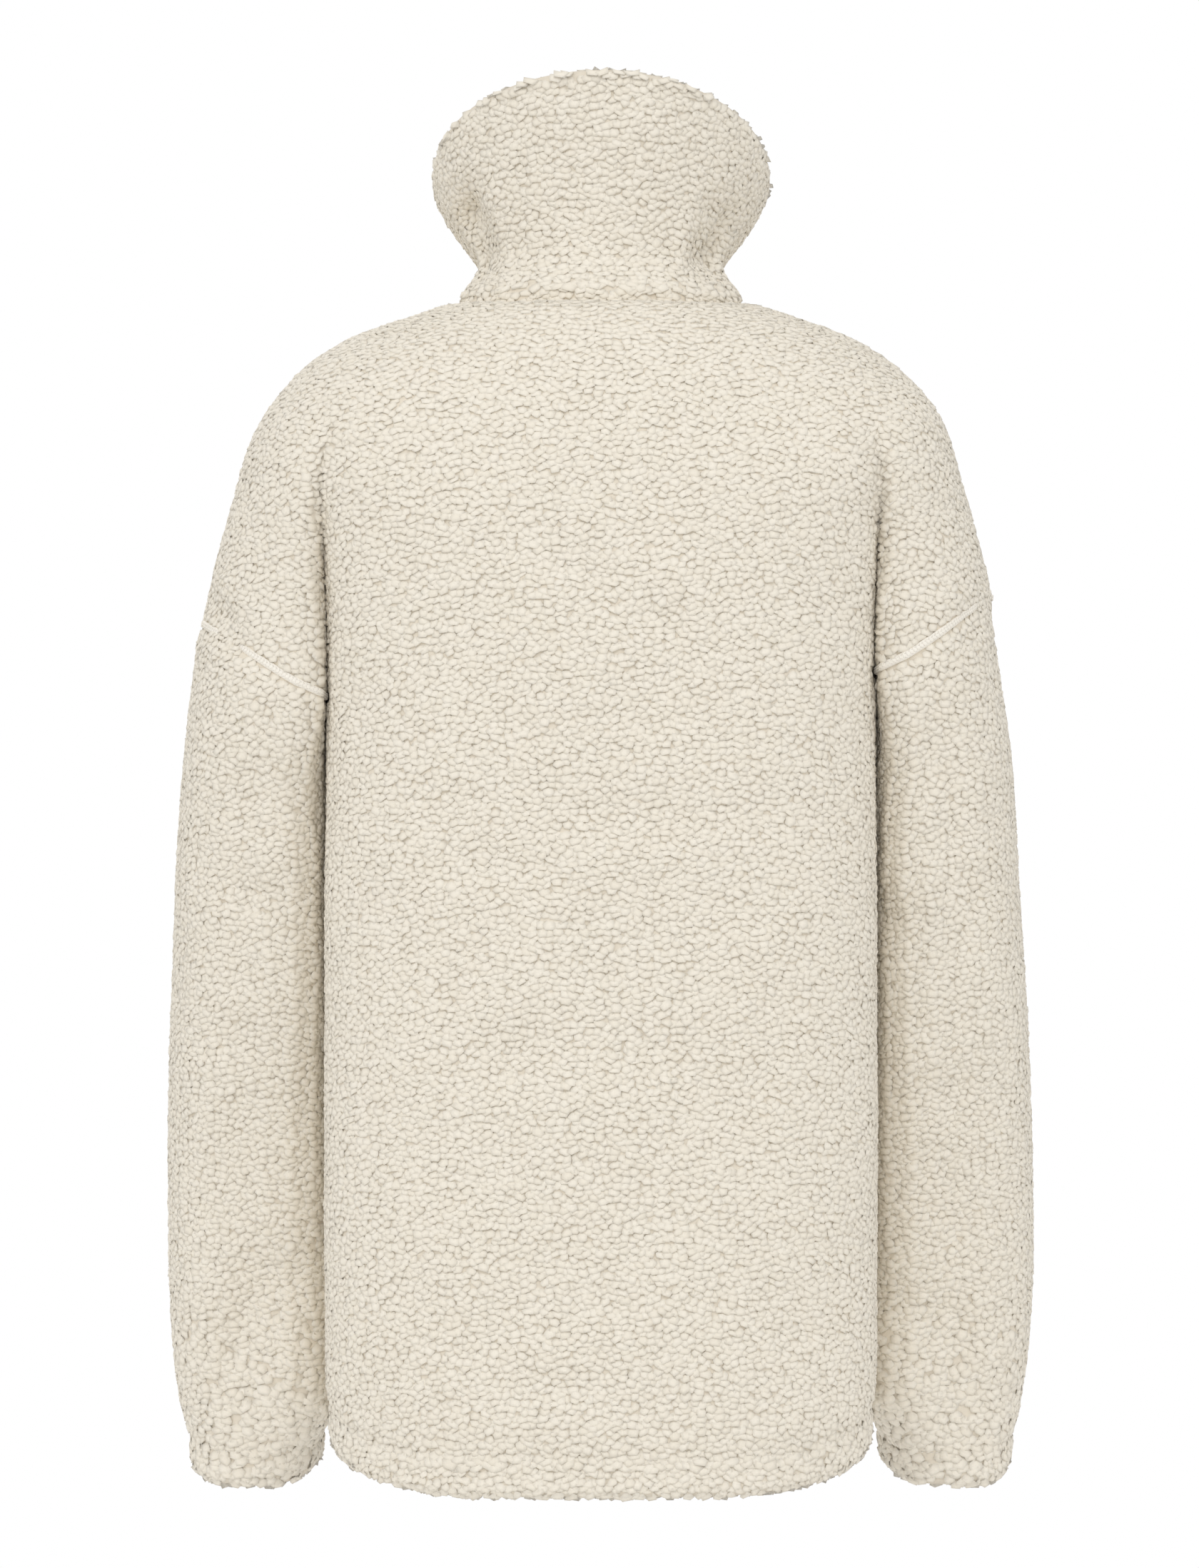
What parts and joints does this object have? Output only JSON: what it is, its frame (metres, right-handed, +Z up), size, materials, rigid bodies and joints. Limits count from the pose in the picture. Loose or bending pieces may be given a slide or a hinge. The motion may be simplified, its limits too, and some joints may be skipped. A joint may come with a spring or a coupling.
{
  "type": "pile fleece jacket",
  "caption": "Hollow, worn-shape pile fleece jacket with dropped shoulders, long sleeves, a tall funnel collar and a zipped front whose pull tab swings.",
  "frame": {"origin": "in the middle of the neck opening, level with the points where the shoulder seams meet the collar", "axes": "+Z up; the jacket's front faces -Y and its back +Y; +X toward the wearer's left arm"},
  "size_m": [0.5265, 0.2674, 0.8391],
  "materials": {
    "pile_fleece": "cream polyester pile",
    "woven_zip_tape": "woven cream polyester",
    "nylon_coil": "cream nylon",
    "brushed_nickel": "brushed nickel"
  },
  "bodies": {
    "jacket": {"back": "pile_fleece", "front_left": "pile_fleece", "front_right": "pile_fleece", "sleeve_left": "pile_fleece", "sleeve_right": "pile_fleece", "collar": "pile_fleece", "zip_tape_left": "woven_zip_tape", "zip_tape_right": "woven_zip_tape", "zip_chain": "nylon_coil", "zip_chain_left": "nylon_coil", "zip_chain_right": "nylon_coil", "zip_box": "nylon_coil", "zip_slider": "brushed_nickel"},
    "pull": {"zip_pull": "brushed_nickel"}
  },
  "joints": [
    {"name": "pull_hinge", "type": "hinge", "parent": "jacket", "child": "pull", "pos_m": [0, -0.09613, -0.06953], "axis": [-1, 0, 0], "range_deg": [0, 110]}
  ]
}
